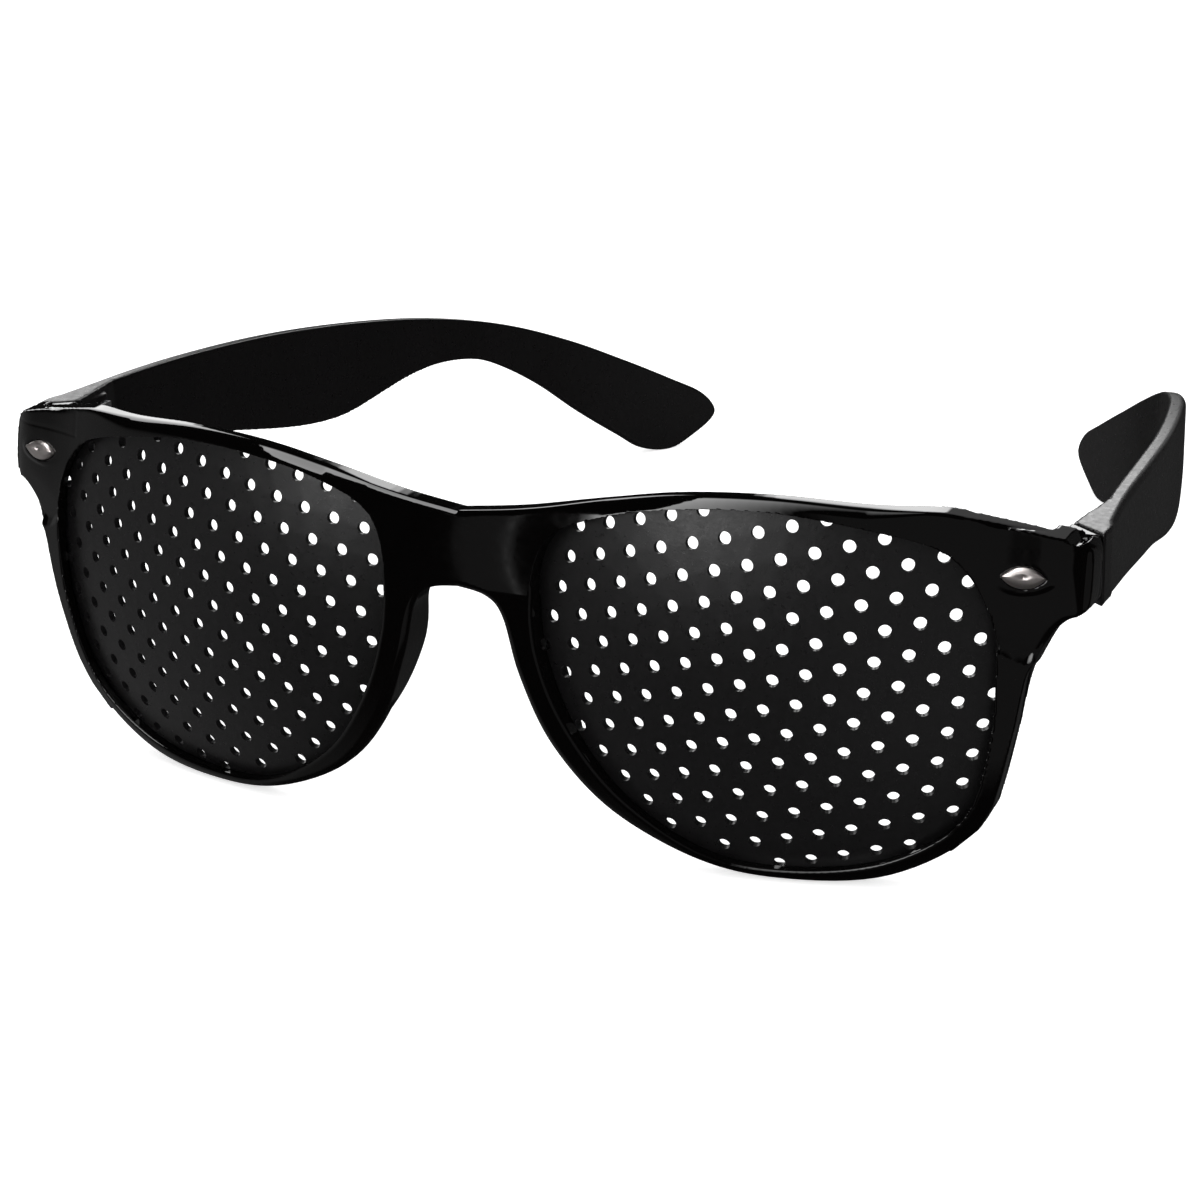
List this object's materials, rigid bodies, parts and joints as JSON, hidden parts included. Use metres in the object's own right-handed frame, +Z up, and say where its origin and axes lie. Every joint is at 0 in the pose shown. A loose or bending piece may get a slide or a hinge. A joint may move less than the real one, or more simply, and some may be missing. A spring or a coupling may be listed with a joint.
{
  "type": "novelty glasses",
  "caption": "Full-rim glasses with domed pinhole plates in place of lenses and two folding temples.",
  "frame": {"origin": "on the ground below the middle of the glasses, which lie open on their rims and temple tips", "axes": "+X towards the wearer's left, +Y from the front towards the temple tips, +Z up. The front leans back by 2.5 degrees as it lies"},
  "size_m": [0.1426, 0.1448, 0.0471],
  "materials": {
    "front": "moulded, polished black",
    "plate": "fine satin, charcoal",
    "temple": "moulded, satin black",
    "hinge": "plain, stamped",
    "screw": "bright plated",
    "rivet": "satin plated"
  },
  "bodies": {
    "front": {"front_frame": "front", "left_lens_plate": "plate", "right_lens_plate": "plate", "left_front_hinge": "hinge", "right_front_hinge": "hinge", "left_hinge_screw": "screw", "right_hinge_screw": "screw", "left_front_leaf_screws": "screw", "right_front_leaf_screws": "screw", "left_rivet": "rivet", "right_rivet": "rivet"},
    "left_temple": {"left_temple": "temple", "left_temple_hinge": "hinge", "left_temple_leaf_screws": "screw"},
    "right_temple": {"right_temple": "temple", "right_temple_hinge": "hinge", "right_temple_leaf_screws": "screw"}
  },
  "joints": [
    {"name": "left_temple_fold", "type": "hinge", "parent": "front", "child": "left_temple", "pos_m": [0.065, -0.04938, 0.03733], "axis": [0, 0.0436, 0.999], "range_deg": [0, 76]},
    {"name": "right_temple_fold", "type": "hinge", "parent": "front", "child": "right_temple", "pos_m": [-0.065, -0.04938, 0.03733], "axis": [0, -0.0436, -0.999], "range_deg": [0, 68]}
  ]
}
